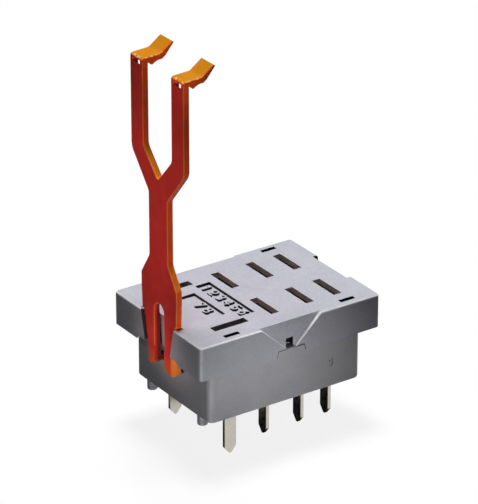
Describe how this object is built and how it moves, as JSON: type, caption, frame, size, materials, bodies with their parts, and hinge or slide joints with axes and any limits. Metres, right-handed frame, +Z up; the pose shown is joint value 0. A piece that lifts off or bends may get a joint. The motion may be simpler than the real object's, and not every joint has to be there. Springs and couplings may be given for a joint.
{
  "type": "relay socket",
  "caption": "Plug-in relay socket for a circuit board: a moulded housing with blade slots on top, flat solder pins below, and a tall forked clip that holds the relay down.",
  "frame": {"origin": "centre of the housing's footprint, in the plane of the pin tips", "axes": "+Z up from the pins to the face that the relay sits on; +Y along the short side; the clip and the coil contacts are at the -X end"},
  "size_m": [0.03, 0.0218, 0.0587],
  "materials": {
    "cover_plastic": "light grey moulded thermoplastic, fine satin grain",
    "base_plastic": "mid grey moulded thermoplastic, fine satin grain",
    "clip_plastic": "orange-red moulded thermoplastic, semi-gloss",
    "contact_metal": "tinned brass strip, satin"
  },
  "bodies": {
    "socket": {"top_cover": "cover_plastic", "base_housing": "base_plastic", "contact_1": "contact_metal", "contact_2": "contact_metal", "contact_3": "contact_metal", "contact_4": "contact_metal", "contact_5": "contact_metal", "contact_6": "contact_metal", "coil_contact_7": "contact_metal", "coil_contact_8": "contact_metal"},
    "clip": {"retaining_clip": "clip_plastic"}
  },
  "joints": [
    {"name": "clip_swing", "type": "hinge", "parent": "socket", "child": "clip", "pos_m": [-0.0142, 0, 0.01985], "axis": [0, -1, 0], "range_deg": [0, 4], "stiffness_Nm_per_rad": 0.05}
  ]
}
